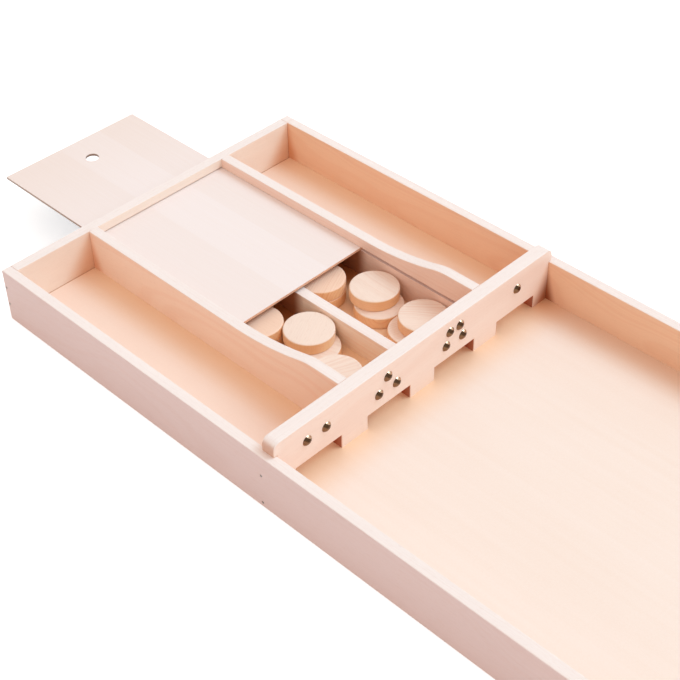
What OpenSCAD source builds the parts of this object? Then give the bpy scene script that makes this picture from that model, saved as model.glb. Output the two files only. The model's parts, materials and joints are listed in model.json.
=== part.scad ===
// Dutch shuffleboard: a long shallow trough with four scoring compartments behind a gated bar.
// The two middle compartments store the discs under one sliding lid, here half pulled out.
// X runs across the board, Y from the player's end to the scoring end, and Z up from the table.
// The origin lies on the table, under the middle of the board. Sizes are in millimetres.

/* [Rails and end wall] */
// Overall length of the board
board_len = 2000; // [1500:10:2400]
// Overall width over both rails
board_w = 400; // [380:1:500]
// Height of the rails and the end wall
rail_h = 63; // [60:0.5:90]
// Thickness of each rail
rail_t = 11; // [9:0.5:18]
// Thickness of the end wall
end_t = 12; // [10:0.5:20]
// Radius of each rail's top corner at the player's end
rail_nose_r = 25; // [5:1:40]

/* [Floor and battens] */
// Thickness of the floor panel
floor_t = 5; // [3:0.5:8]
// Depth of the groove around the floor
floor_groove = 4; // [2:0.5:6]
// Play between the floor and its groove
floor_play = 0.2; // [0.1:0.05:0.5]
// Thickness of the battens under the floor
batten_t = 10.5; // [8:0.5:20]
// Width of each batten
batten_w = 30; // [20:1:60]
// Distance from the batten under the middle of the board to the one near the player
batten_pitch = 500; // [300:10:700]

/* [Sill at the player's end] */
// Thickness of the sill
sill_t = 12; // [10:0.5:20]
// Height of the sill above the floor
sill_lip = 5; // [2:0.5:10]

/* [Discs] */
// Diameter of a disc
disc_d = 52; // [44:0.5:60]
// Thickness of a disc
disc_t = 13; // [9:0.5:16]
// Rounding of a disc's rims
disc_rim_r = 1.5; // [0.5:0.1:3]
// Least gap between stored discs, and between a disc and the middle divider
disc_play = 0.4; // [0.3:0.1:2]
// Air under a disc where it lies on the floor or on another disc
disc_seat = 0.05; // [0.02:0.01:0.2]
// Gap between the player's end and the discs that wait there
shot_gap = 30; // [10:1:100]

/* [Storage layout] */
// Gap between an outer divider and the stacks beside it
outer_gap = 1.2; // [0.4:0.1:4]
// Gap between the bar and the first stack on the left
left_bar_gap = 15; // [5:1:30]
// Gap between the first and second stacks on the left
left_second_gap = 18; // [12:1:30]
// Gap between the bar and the first stack on the right
right_bar_gap = 11; // [5:1:30]
// Gap between the first and second stacks on the right
right_second_gap = 15; // [13:1:30]
// Gap between the second and third stacks on the right
right_third_gap = 5; // [2:1:20]
// Spare length behind the longer row of stored discs
store_spare = 4.6; // [2:0.2:60]
// Room between the stored discs and the lid
lid_head = 7; // [3:0.5:12]

/* [Gate bar] */
// Thickness of the gate bar
bar_t = 15; // [12:0.5:24]
// Height of the bar above the rails
bar_proud = 15; // [8:0.5:30]
// Distance from a rail's outer face to the end of the bar's ear
ear_inset = 7; // [4:0.5:8]
// Radius of the ear's top corner
ear_r = 8; // [2:0.5:8]
// Width of the bar's leg between two gates
gate_leg = 34.5; // [30:0.5:45]
// Play of a disc in a gate, across
gate_side_play = 6; // [3:0.5:12]
// Play of a disc in a gate, upwards
gate_top_play = 3; // [1:0.5:6]

/* [Dividers] */
// Thickness of the left and right dividers
divider_t = 11.5; // [11:0.5:18]
// Thickness of the middle divider
middle_t = 12; // [8:0.5:18]
// Gap between the middle divider and the lid
middle_drop = 3; // [0.5:0.5:8]
// Length of the level top between the bar and the S-curve of the left and right dividers
rise_flat = 32; // [10:1:100]
// Length of the S-curve's round crest
crest_run = 20; // [10:1:80]
// Length of the S-curve's hollow foot
foot_run = 88; // [40:1:160]

/* [Lid] */
// Thickness of the lid
lid_t = 3; // [2.5:0.5:5]
// Depth of the lid's groove in the dividers
lid_groove = 3.5; // [3:0.25:5]
// Play above and below the lid
lid_play = 0.3; // [0.2:0.05:0.6]
// Play at the lid's long edges and at its front
lid_edge_play = 0.5; // [0.3:0.1:1]
// How far the lid is pulled out
lid_pull = 149; // [0:1:220]
// Diameter of the finger hole
hole_d = 15; // [12:0.5:25]
// Distance from the lid's outer edge to the middle of the finger hole
hole_edge = 39; // [20:1:60]

/* [Brass nails] */
// Diameter of a nail's domed head
nail_head_d = 11; // [6:0.5:12]
// Height of the dome
nail_head_h = 3; // [1.5:0.25:4]
// Diameter of the shank
nail_shank_d = 1.6; // [1.2:0.1:2.5]
// Length of the shank in the bar
nail_len = 10; // [6:0.5:11]
// Distance between the two nails of a wide pair
nail_pitch = 24; // [20:0.5:28]
// Distance between the two nails of the narrow pair
nail_top_pitch = 14.5; // [12.5:0.5:18]
// Distance between the two rows of a group
nail_row = 15; // [13:0.5:20]
// Height of a group's middle above its gate
nail_lift = 24.5; // [18:0.5:30]

/* [Brads and screws] */
// Diameter of a brad's shank
brad_d = 1.8; // [1.4:0.1:2.4]
// Length of a brad
brad_len = 30; // [20:1:35]
// How far the brads stand behind the middle of the end wall and of the bar
brad_back = 3; // [0:0.5:3.5]
// Diameter of a brad's head
brad_head_d = 3; // [2.6:0.1:4]
// Height of a brad's head
brad_head_h = 1; // [0.5:0.1:2]
// Diameter of a screw's shank
screw_d = 3; // [2.5:0.1:4]
// Diameter of a screw's countersunk head
screw_head_d = 6; // [5:0.1:8]
// Depth of the cross recess in a screw's head
screw_recess = 1; // [0.6:0.1:1.4]
// Width of one arm of the cross recess
screw_slot_w = 0.9; // [0.6:0.1:1.2]
// Grip of a screw in the piece above the floor
screw_grip = 14; // [8:1:20]
// Number of screws along each divider
screw_count = 3; // [2:1:4]
// Distance from a divider's end to its nearest screw
screw_end = 40; // [20:1:80]
// Play between a fastener and its hole
fastener_play = 0.05; // [0.02:0.01:0.1]

/* [Hidden] */
$fn = 96;
// Margin by which a cut runs past a face
past = 1;

// Colours as seen
beech = "#f0cdb4";
beech_edge = "#f7e3d6";
floor_tone = "#f3c9a4";
lid_tone = "#f4e4da";
disc_tone = "#f2d3b5";
brass_tone = "#6b5230";
steel_tone = "#8d8d90";

// Board
half_w = board_w / 2;
half_len = board_len / 2;
inner_half = half_w - rail_t;
end_in_y = half_len - end_t;
sill_in_y = sill_t - half_len;

// Floor
floor_z = batten_t;
floor_top = floor_z + floor_t;
panel_half_w = inner_half + floor_groove - floor_play;
panel_back_y = end_in_y + floor_groove - floor_play;
panel_front_y = sill_in_y - floor_groove + floor_play;
sill_h = floor_top + sill_lip;

// Gates, named 2, 3, 4 and 1 from left to right
gate_count = 4;
gate_w = disc_d + gate_side_play;
gate_h = disc_t + gate_top_play;
gate_top = floor_top + gate_h;
gate_pitch = gate_w + gate_leg;
function gate_x(i) = (i - (gate_count - 1) / 2) * gate_pitch;
bar_top = rail_h + bar_proud;
ear_end = half_w - ear_inset;

// Dividers stand behind the legs of the bar
divider_x = gate_pitch;
divider_in = divider_x - divider_t / 2;
middle_in = middle_t / 2;

// Stored discs stand in stacks along each middle compartment, against its outer or inner wall
layers = 2;
stack_count = 7;
open_stacks = 2;
against_outer = 0;
against_middle = 1;
disc_r = disc_d / 2;
outer_x = divider_in - disc_r - outer_gap;
middle_x = middle_in + disc_r + disc_play;
left_walls = [for (k = [0 : stack_count - 1])
    k % 2 == 0 ? against_outer : against_middle];
right_walls = [for (k = [0 : stack_count - 1])
    k < open_stacks || k % 2 == 1 ? against_outer : against_middle];
left_gaps = [for (k = [0 : stack_count - 1])
    k == 0 ? left_bar_gap : k == 1 ? left_second_gap : disc_play];
right_gaps = [for (k = [0 : stack_count - 1])
    k == 0 ? right_bar_gap : k == 1 ? right_second_gap : k == 2 ? right_third_gap : disc_play];
// Shift of the lower disc of a stack from the upper one: outwards from the middle, and back from the bar
left_lean = [[-6, -2], [3.5, -11.5]];
right_lean = [[-11, 3.5], [-5, -11]];
no_lean = [0, 0];

function store_x(wall) = wall == against_outer ? outer_x : middle_x;
function stack_step(walls, gaps, k) =
    sqrt(pow(disc_d + gaps[k], 2) - pow(store_x(walls[k]) - store_x(walls[k - 1]), 2));
function stack_y(walls, gaps, k) =
    k == 0 ? gaps[0] + disc_r : stack_y(walls, gaps, k - 1) + stack_step(walls, gaps, k);

// The store is as deep as its longer row of discs needs
last = stack_count - 1;
left_run = stack_y(left_walls, left_gaps, last) + disc_r;
right_run = stack_y(right_walls, right_gaps, last) + disc_r;
store_depth = max(left_run, right_run) + store_spare;
bar_back_y = end_in_y - store_depth;
bar_front_y = bar_back_y - bar_t;
bar_mid_y = bar_back_y - bar_t / 2;

// Lid and its grooves
lid_z = floor_top + layers * disc_t + lid_head;
lid_top = lid_z + lid_t;
groove_half = divider_in + lid_groove;
groove_z = lid_z - lid_play;
groove_h = lid_t + 2 * lid_play;
lid_half_w = groove_half - lid_edge_play;
lid_back_y = half_len + lid_pull;
lid_front_y = bar_back_y + lid_edge_play + lid_pull;
middle_top = lid_z - middle_drop;

// S-curve: the arcs of the crest and the foot meet at one slope
rise_h = bar_top - rail_h;
rise_angle = 2 * atan(rise_h / (crest_run + foot_run));
crest_r = crest_run / sin(rise_angle);
foot_r = foot_run / sin(rise_angle);
crest_y = bar_back_y + rise_flat;
foot_y = crest_y + crest_run + foot_run;
crest_steps = 10;
foot_steps = 24;

// Point of the crest, from 0 at its level end to 1 where the foot takes over
function crest_point(t) =
    [crest_y + crest_r * sin(t * rise_angle), bar_top - crest_r * (1 - cos(t * rise_angle))];

// Point of the foot, from 0 at its level end to 1 where the crest takes over
function foot_point(t) =
    [foot_y - foot_r * sin(t * rise_angle), rail_h + foot_r * (1 - cos(t * rise_angle))];

// Dome of a nail's head: a cap cut from a sphere
dome_r = (pow(nail_head_d / 2, 2) + pow(nail_head_h, 2)) / (2 * nail_head_h);
nail_z = gate_top + nail_lift;
// Shift of each group of nails from the middle over its gate, across and up
nail_shift = [[-2, 0], [-2, 0], [-1, 0], [0, 1.5]];

// Brads through a rail, as [y, z]: end wall, bar, the battens and the sill
end_mid_y = half_len - end_t / 2;
batten_mid_z = batten_t / 2;
rail_brad_spots = [
    [end_mid_y + brad_back, rail_h / 3],
    [end_mid_y + brad_back, 2 * rail_h / 3],
    [bar_mid_y + brad_back, (floor_top + rail_h) / 2],
    [bar_mid_y + brad_back, batten_mid_z],
    [0, batten_mid_z],
    [-batten_pitch, batten_mid_z],
    [sill_t / 2 - half_len, batten_mid_z],
];

// Brads through the end wall, as [x, z]: two into each outer divider, one into the middle divider
low_brad_z = (floor_top + lid_z) / 2;
high_brad_z = (lid_top + rail_h) / 2;
end_brad_spots = [
    [-divider_x, low_brad_z],
    [-divider_x, high_brad_z],
    [0, (floor_top + middle_top) / 2],
    [divider_x, low_brad_z],
    [divider_x, high_brad_z],
];

// Screws from below: along the dividers through the floor, and into the bar through its batten
divider_screw_len = floor_t + screw_grip;
bar_screw_len = floor_top + screw_grip;
screw_span = store_depth - 2 * screw_end;
divider_screw_spots = [
    for (i = [-1 : 1], j = [0 : screw_count - 1])
        [i * divider_x, bar_back_y + screw_end + j * screw_span / (screw_count - 1)]
];
bar_screw_spots = [for (i = [-1 : 1]) [i * divider_x, bar_mid_y]];

// Node names
sides = ["left", "right"];
levels = ["lower", "upper"];
function stack_node(side, k, level) = str(side, "_stack_", k + 1, "_", level);
function shot_node(side) = str(side, "_shot_disc");

// Block between two opposite corners
module block(low, high) {
    translate(low) cube(high - low);
}

// Outline drawn in Y and Z, spread along X between two planes
module along_x(low_x, high_x) {
    translate([low_x, 0, 0]) rotate([90, 0, 90]) linear_extrude(high_x - low_x) children();
}

// Outline drawn in X and Z, spread along Y between two planes
module along_y(low_y, high_y) {
    translate([0, high_y, 0]) rotate([90, 0, 0]) linear_extrude(high_y - low_y) children();
}

// Rectangle in an outline between two opposite corners
module panel(low, high) {
    translate(low) square(high - low);
}

// Brad along +Z with the top of its head at the origin; grow widens it to its hole
module brad(grow = 0) {
    translate([0, 0, -brad_len]) cylinder(d = brad_d + 2 * grow, h = brad_len);
    translate([0, 0, -brad_head_h]) cylinder(d = brad_head_d + 2 * grow, h = brad_head_h);
}

// Countersunk screw that points up, with the flat of its head at the origin
module screw(length, grow = 0) {
    head_h = (screw_head_d - screw_d) / 2;
    cylinder(d = screw_d + 2 * grow, h = length);
    cylinder(d1 = screw_head_d + 2 * grow, d2 = screw_d + 2 * grow, h = head_h);
}

// Cross recess in the flat of a screw's head
module cross_recess() {
    arm = screw_head_d - screw_d;
    for (turn = [0, 90]) {
        rotate([0, 0, turn])
            translate([-arm / 2, -screw_slot_w / 2, -past]) cube([arm, screw_slot_w, past + screw_recess]);
    }
}

// All brads through one rail: side is -1 on the left and 1 on the right
module rail_brad_set(side, grow = 0) {
    for (spot = rail_brad_spots) {
        translate([side * half_w, spot[0], spot[1]]) rotate([0, side * 90, 0]) brad(grow);
    }
}

// All brads through the end wall
module end_brad_set(grow = 0) {
    for (spot = end_brad_spots) {
        translate([spot[0], half_len, spot[1]]) rotate([-90, 0, 0]) brad(grow);
    }
}

// Holes for all brads through both rails
module rail_brad_holes() {
    for (side = [-1, 1]) rail_brad_set(side, fastener_play);
}

// Screws at a list of [x, y] spots, from a starting height
module screw_set(spots, base_z, length, grow = 0) {
    for (spot = spots) translate([spot[0], spot[1], base_z]) screw(length, grow);
}

// Screws with their cross recesses
module driven_screws(spots, base_z, length) {
    difference() {
        screw_set(spots, base_z, length);
        for (spot = spots) translate([spot[0], spot[1], base_z]) cross_recess();
    }
}

// Holes for the screws into the bar
module bar_screw_holes() {
    screw_set(bar_screw_spots, 0, bar_screw_len, fastener_play);
}

// Holes for the screws into the dividers
module divider_screw_holes() {
    screw_set(divider_screw_spots, floor_z, divider_screw_len, fastener_play);
}

// Space that the floor panel's edges need in the pieces around them
module floor_groove_space() {
    block(
        [-inner_half - floor_groove, sill_in_y - floor_groove, floor_z - floor_play],
        [inner_half + floor_groove, end_in_y + floor_groove, floor_top + floor_play]
    );
}

// Space that the lid slides in, from the bar out through the end wall
module lid_way() {
    block([-groove_half, bar_back_y, groove_z], [groove_half, half_len + past, groove_z + groove_h]);
}

// Side of a rail, with its top corner rounded at the player's end
module rail_outline() {
    nose_y = rail_nose_r - half_len;
    panel([nose_y, 0], [half_len, rail_h]);
    panel([-half_len, 0], [nose_y, rail_h - rail_nose_r]);
    translate([nose_y, rail_h - rail_nose_r]) circle(rail_nose_r);
}

module rail(side) {
    color(beech) difference() {
        if (side < 0) along_x(-half_w, -inner_half) rail_outline();
        else along_x(inner_half, half_w) rail_outline();
        floor_groove_space();
        rail_brad_set(side, fastener_play);
    }
}

module left_rail() { rail(-1); }

module right_rail() { rail(1); }

module end_wall() {
    color(beech) difference() {
        block([-inner_half, end_in_y, 0], [inner_half, half_len, rail_h]);
        floor_groove_space();
        lid_way();
        rail_brad_holes();
        end_brad_set(fastener_play);
    }
}

module front_sill() {
    color(beech) difference() {
        block([-inner_half, -half_len, 0], [inner_half, sill_in_y, sill_h]);
        floor_groove_space();
        rail_brad_holes();
    }
}

module floor_panel() {
    color(floor_tone) difference() {
        block([-panel_half_w, panel_front_y, floor_z], [panel_half_w, panel_back_y, floor_top]);
        divider_screw_holes();
        bar_screw_holes();
    }
}

// Batten across the board under the floor
module batten(mid_y) {
    color(beech) difference() {
        block([-inner_half, mid_y - batten_w / 2, 0], [inner_half, mid_y + batten_w / 2, floor_z]);
        rail_brad_holes();
        bar_screw_holes();
    }
}

module gate_batten() { batten(bar_mid_y); }

module middle_batten() { batten(0); }

module front_batten() { batten(-batten_pitch); }

// Front of the gate bar: it stands on the floor between the rails, and its ears lie on them
module bar_outline() {
    ear_mid = ear_end - ear_r;
    difference() {
        union() {
            panel([-inner_half, floor_top], [inner_half, bar_top]);
            panel([-ear_mid, rail_h], [ear_mid, bar_top]);
            panel([-ear_end, rail_h], [ear_end, bar_top - ear_r]);
            for (side = [-1, 1]) translate([side * ear_mid, bar_top - ear_r]) circle(ear_r);
        }
        for (i = [0 : gate_count - 1]) {
            panel([gate_x(i) - gate_w / 2, floor_top - past], [gate_x(i) + gate_w / 2, gate_top]);
        }
        panel([-half_w, 0], [-inner_half, rail_h]);
        panel([inner_half, 0], [half_w, rail_h]);
    }
}

module gate_bar() {
    color(beech) difference() {
        along_y(bar_front_y, bar_back_y) bar_outline();
        rail_brad_holes();
        bar_screw_holes();
        for (i = [0 : gate_count - 1]) nail_group(i, fastener_play);
    }
}

// Side of an outer divider: level with the rails, then up an S-curve to the bar's top
module divider_outline() {
    polygon(concat(
        [[bar_back_y, bar_top], [bar_back_y, floor_top], [end_in_y, floor_top], [end_in_y, rail_h]],
        [for (i = [0 : foot_steps]) foot_point(i / foot_steps)],
        [for (i = [crest_steps - 1 : -1 : 0]) crest_point(i / crest_steps)]
    ));
}

module outer_divider(side) {
    mid_x = side * divider_x;
    color(beech) difference() {
        along_x(mid_x - divider_t / 2, mid_x + divider_t / 2) divider_outline();
        lid_way();
        end_brad_set(fastener_play);
        divider_screw_holes();
    }
}

module left_divider() { outer_divider(-1); }

module right_divider() { outer_divider(1); }

module middle_divider() {
    color(beech_edge) difference() {
        block([-middle_in, bar_back_y, floor_top], [middle_in, end_in_y, middle_top]);
        end_brad_set(fastener_play);
        divider_screw_holes();
    }
}

module storage_lid() {
    color(lid_tone) difference() {
        block([-lid_half_w, lid_front_y, lid_z], [lid_half_w, lid_back_y, lid_top]);
        translate([0, lid_back_y - hole_edge, lid_z - past]) cylinder(d = hole_d, h = lid_t + 2 * past);
    }
}

// Places of the nails over gate i, across from its middle and up from the group's middle
function nail_spots(i) =
    let (wide = nail_pitch / 2, narrow = nail_top_pitch / 2, up = nail_row / 2)
    [
        [[-wide, 0], [wide, 0]],
        [[0, up], [-wide, -up], [wide, -up]],
        [[-narrow, up], [narrow, up], [-wide, -up], [wide, -up]],
        [[0, 0]],
    ][i];

// Nail driven into the bar's front: a shank and, without grow, a domed head
module dome_nail(grow = 0) {
    rotate([90, 0, 0]) {
        translate([0, 0, -nail_len]) cylinder(d = nail_shank_d + 2 * grow, h = nail_len);
        if (grow == 0) intersection() {
            translate([0, 0, nail_head_h - dome_r]) sphere(dome_r);
            cylinder(d = nail_head_d, h = nail_head_h);
        }
    }
}

module nail_group(i, grow = 0) {
    for (spot = nail_spots(i)) {
        place = nail_shift[i] + spot;
        translate([gate_x(i) + place[0], bar_front_y, nail_z + place[1]]) dome_nail(grow);
    }
}

module gate_2_nails() { color(brass_tone) nail_group(0); }

module gate_3_nails() { color(brass_tone) nail_group(1); }

module gate_4_nails() { color(brass_tone) nail_group(2); }

module gate_1_nail() { color(brass_tone) nail_group(3); }

module left_rail_brads() { color(steel_tone) rail_brad_set(-1); }

module right_rail_brads() { color(steel_tone) rail_brad_set(1); }

module end_wall_brads() { color(steel_tone) end_brad_set(); }

module divider_screws() { color(steel_tone) driven_screws(divider_screw_spots, floor_z, divider_screw_len); }

module gate_bar_screws() { color(steel_tone) driven_screws(bar_screw_spots, 0, bar_screw_len); }

// Disc that lies with the middle of its lower face at the origin
module disc() {
    body_t = disc_t - disc_seat;
    core_r = disc_r - disc_rim_r;
    color(disc_tone) rotate_extrude() {
        panel([0, 0], [core_r, body_t]);
        panel([0, disc_rim_r], [disc_r, body_t - disc_rim_r]);
        for (z = [disc_rim_r, body_t - disc_rim_r]) translate([core_r, z]) circle(disc_rim_r);
    }
}

// Stored disc: stack k of one side, on level 0 or 1
module stored_disc(side, k, level) {
    left = side == sides[0];
    walls = left ? left_walls : right_walls;
    gaps = left ? left_gaps : right_gaps;
    leans = left ? left_lean : right_lean;
    lean = level == 0 && k < open_stacks ? leans[k] : no_lean;
    out_x = store_x(walls[k]) + lean[0];
    translate([
        left ? -out_x : out_x,
        bar_back_y + stack_y(walls, gaps, k) + lean[1],
        floor_top + level * disc_t + disc_seat,
    ]) disc();
}

// Disc that waits at the player's end, in line with an outer gate
module shot_disc(side) {
    lane = side == sides[0] ? 0 : gate_count - 1;
    translate([gate_x(lane), sill_in_y + shot_gap + disc_r, floor_top + disc_seat]) disc();
}

left_rail();
right_rail();
end_wall();
front_sill();
floor_panel();
gate_batten();
middle_batten();
front_batten();
gate_bar();
left_divider();
middle_divider();
right_divider();
storage_lid();
gate_1_nail();
gate_2_nails();
gate_3_nails();
gate_4_nails();
left_rail_brads();
right_rail_brads();
end_wall_brads();
divider_screws();
gate_bar_screws();
for (side = sides, k = [0 : stack_count - 1], level = [0 : layers - 1])
    stored_disc(side, k, level);
for (side = sides)
    shot_disc(side);
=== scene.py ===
"""Looks of a Dutch shuffleboard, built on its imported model.

Lengths are metres. X runs across the board, Y from the player's end to the scoring end, Z up from the table.
"""

import json
import logging
import math
import random
from collections.abc import Callable, Mapping, Sequence
from dataclasses import dataclass, replace
from enum import Enum
from itertools import pairwise

import bmesh
import bpy
from mathutils import Matrix, Vector


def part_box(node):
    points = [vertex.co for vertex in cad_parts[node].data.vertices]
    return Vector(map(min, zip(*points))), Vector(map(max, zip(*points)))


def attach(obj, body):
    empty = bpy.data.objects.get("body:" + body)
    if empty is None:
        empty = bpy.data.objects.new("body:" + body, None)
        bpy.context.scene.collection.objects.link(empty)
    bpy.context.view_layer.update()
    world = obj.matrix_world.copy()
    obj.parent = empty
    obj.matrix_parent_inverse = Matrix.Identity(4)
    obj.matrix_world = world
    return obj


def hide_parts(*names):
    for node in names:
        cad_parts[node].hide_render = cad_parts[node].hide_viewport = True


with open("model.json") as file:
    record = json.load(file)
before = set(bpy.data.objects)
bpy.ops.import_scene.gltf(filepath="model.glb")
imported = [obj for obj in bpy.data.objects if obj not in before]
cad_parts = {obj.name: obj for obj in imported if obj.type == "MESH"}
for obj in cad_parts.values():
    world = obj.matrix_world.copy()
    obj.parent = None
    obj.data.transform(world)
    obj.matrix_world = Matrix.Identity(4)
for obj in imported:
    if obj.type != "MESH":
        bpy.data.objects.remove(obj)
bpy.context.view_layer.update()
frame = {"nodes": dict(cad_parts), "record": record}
RECORD = frame["record"]
BODY_OF = {node: body for body, nodes in RECORD["behaviour"]["bodies"].items() for node in nodes}
SLOT_OF = {row["node"]: row["material_slot"] for row in RECORD["subparts"]}
LOG = logging.getLogger("shuffleboard")

Socket = bpy.types.NodeSocket
Feed = Socket | float | str | Sequence[float]
Point = tuple[float, float]
Triple = tuple[float, float, float]
Span = tuple[Vector, Vector]
CoverOf = Callable[[Vector, Vector], Triple]

MERGE = 1e-6
SHARP_ANGLE = math.radians(34)
FULL_WEAR = 1 - math.sqrt(0.5)
FACING = 0.5
LIGHT_FROM = Vector((0.52, -0.36, 0.78))
# Painted-light share of a face turned to the lamp's side; faces above it take paler painted colours, up to
# the palest
HALF_LIGHT = 0.46
OVERSHOOT = 0.002
SEEN_RAYS = ("Is Camera Ray", "Is Glossy Ray", "Is Transmission Ray")

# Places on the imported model
INNER_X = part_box("right_rail")[0].x
STORE_X, DIVIDER_X = (corner.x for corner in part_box("right_divider"))
BAR_Y = tuple(corner.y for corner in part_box("gate_bar"))
LID_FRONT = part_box("storage_lid")[0].y
LID_SHADE = tuple(LID_FRONT + reach for reach in (-0.0115, 0.0065))
END_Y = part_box("end_wall")[0].y
FLOOR_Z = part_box("floor_panel")[1].z


class Axis(Enum):
    """Direction in the board's frame."""

    ACROSS = 0
    ALONG = 1
    UP = 2

    def unit(self) -> Vector:
        """Unit vector of this direction."""
        return Vector([float(n == self.value) for n in range(3)])

    def spot(self, point: Point, level: float) -> Vector:
        """Point of an outline drawn square to this direction, at a level along it."""
        return Vector((*point[:self.value], level, *point[self.value:]))


class Side(Enum):
    """Side of the board as the player sees it."""

    LEFT = "left"
    RIGHT = "right"

    def out(self) -> Vector:
        """Unit vector that points out of the board on this side."""
        return Axis.ACROSS.unit() * (-1 if self is Side.LEFT else 1)


class Slot(Enum):
    """Material slot that holds a whole set of like pieces."""

    NAILS = "brass_nails"
    DISCS = "disc_beech"

    def nodes(self) -> list[str]:
        """CAD nodes in this slot, in the record's order."""
        return [node for node, name in SLOT_OF.items() if name == self.value]


class Blend(Enum):
    """How a colour goes onto the one under it."""

    OVER = "MIX"
    TIMES = "MULTIPLY"


class Detail(Enum):
    """How far a noise is broken up into finer waves."""

    PLAIN = 1.0
    SOFT = 2.0
    FINE = 3.0


BRADS_OUT = {f"{side.value}_rail_brads": side.out() for side in Side} | {"end_wall_brads": Axis.ALONG.unit()}


def tint(code: str) -> tuple[float, ...]:
    """Linear colour with alpha, from a screen colour in hexadecimal after a hash sign."""
    parts = [int(code[n:n + 2], 16) / 255 for n in (1, 3, 5)]
    return (*(p / 12.92 if p <= 0.04045 else ((p + 0.055) / 1.055) ** 2.4 for p in parts), 1.0)


class Graph:
    """Node tree of a material or of the surround, with a short method for each kind of node."""

    def __init__(self, owner: bpy.types.Material | bpy.types.World) -> None:
        """Empties the tree of its owner.

        Args:
            owner: What the tree belongs to.
        """
        self.owner = owner
        owner.use_nodes = True
        self.nodes = owner.node_tree.nodes
        self.links = owner.node_tree.links
        self.nodes.clear()

    def add(self, kind: str, feeds: Mapping[str | int, Feed], **settings: object) -> bpy.types.Node:
        """Adds a node.

        Args:
            kind: The node's type, without the prefix that all types share.
            feeds: What goes into each input: a constant, a colour's code or another node's output.
            settings: The node's other properties.

        Returns:
            The new node.
        """
        node = self.nodes.new("ShaderNode" + kind)
        for key, value in settings.items():
            setattr(node, key, value)
        for key, value in feeds.items():
            if isinstance(value, Socket):
                self.links.new(value, node.inputs[key])
            else:
                node.inputs[key].default_value = tint(value) if isinstance(value, str) else value
        return node

    def attribute(self, name: str) -> Socket:
        """Vector that the mesh keeps under a name."""
        return self.add("Attribute", {}, attribute_name=name).outputs["Vector"]

    def place(self) -> Socket:
        """Place in the object's own coordinates."""
        return self.add("TexCoord", {}).outputs["Object"]

    def parts(self, vector: Socket) -> tuple[Socket, Socket, Socket]:
        """The three parts of a vector."""
        outputs = self.add("SeparateXYZ", {0: vector}).outputs
        return outputs[0], outputs[1], outputs[2]

    def math(self, operation: str, *values: Feed) -> Socket:
        """Result of a sum on up to three values."""
        return self.add("Math", dict(enumerate(values)), operation=operation).outputs[0]

    def both(self, one: Feed, other: Feed) -> Socket:
        """Share of two shares at once."""
        return self.math("MULTIPLY", one, other)

    def stretch(self, vector: Socket, factors: Triple) -> Socket:
        """Vector with each part multiplied by its factor."""
        return self.add("VectorMath", {0: vector, 1: factors}, operation="MULTIPLY").outputs[0]

    def length(self, vector: Socket) -> Socket:
        """Length of a vector."""
        return self.add("VectorMath", {0: vector}, operation="LENGTH").outputs["Value"]

    def noise(self, vector: Socket, factors: Triple, detail: Detail = Detail.SOFT) -> Socket:
        """Soft noise from 0 to 1, with a number of waves per metre along each direction."""
        feeds = {"Vector": self.stretch(vector, factors), "Scale": 1.0, "Detail": detail.value}
        return self.add("TexNoise", feeds).outputs["Fac"]

    def wander(self, value: Socket, scale: float, detail: Detail = Detail.SOFT) -> Socket:
        """Noise from 0 to 1 along one value."""
        feeds = {"W": value, "Scale": scale, "Detail": detail.value}
        return self.add("TexNoise", feeds, noise_dimensions="1D").outputs["Fac"]

    def band(self, value: Socket, start: float, stop: float, low: float = 0.0, high: float = 1.0) -> Socket:
        """Smooth step of a value: low at start, high at stop."""
        feeds = {0: value, 1: start, 2: stop, 3: low, 4: high}
        return self.add("MapRange", feeds, interpolation_type="SMOOTHSTEP").outputs[0]

    def mix(self, share: Feed, base: Feed, other: Feed, blend: Blend = Blend.OVER) -> Socket:
        """Colour with a share of another blended in."""
        node = self.add("Mix", {0: share, 6: base, 7: other}, data_type="RGBA", blend_type=blend.value)
        return node.outputs[2]

    def total(self, weights: Sequence[tuple[Socket, float]], start: float = 0.0) -> Feed:
        """Sums values up.

        Args:
            weights: Each value with its weight.
            start: What is there without them.

        Returns:
            The weighted sum.
        """
        total: Feed = start
        for value, weight in weights:
            total = self.math("MULTIPLY_ADD", value, weight, total)
        return total

    def varied(self, value: Socket, mean: float, spread: float) -> Socket:
        """Number that follows a value from 0 to 1 over a spread about a mean."""
        return self.math("MULTIPLY_ADD", value, spread, mean - spread / 2)

    def bump(self, height: Feed, depth: float) -> Socket:
        """Normal of a surface with a relief of that depth."""
        return self.add("Bump", {"Height": height, "Distance": depth, "Strength": 1.0}).outputs["Normal"]

    def seen(self) -> Feed:
        """Tells what the camera sees from what only lights.

        Returns:
            1 for a ray from the camera, mirrored or let through on its way or not, and 0 for any other.
        """
        path = self.add("LightPath", {}).outputs
        seen: Feed = 0.0
        for kind in SEEN_RAYS:
            seen = self.math("MAXIMUM", seen, path[kind])
        return seen

    def surface(self, feeds: Mapping[str, Feed]) -> bpy.types.Material:
        """Material whose tree ends with a principled surface."""
        self.add("OutputMaterial", {"Surface": self.add("BsdfPrincipled", feeds).outputs[0]})
        return self.owner


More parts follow.
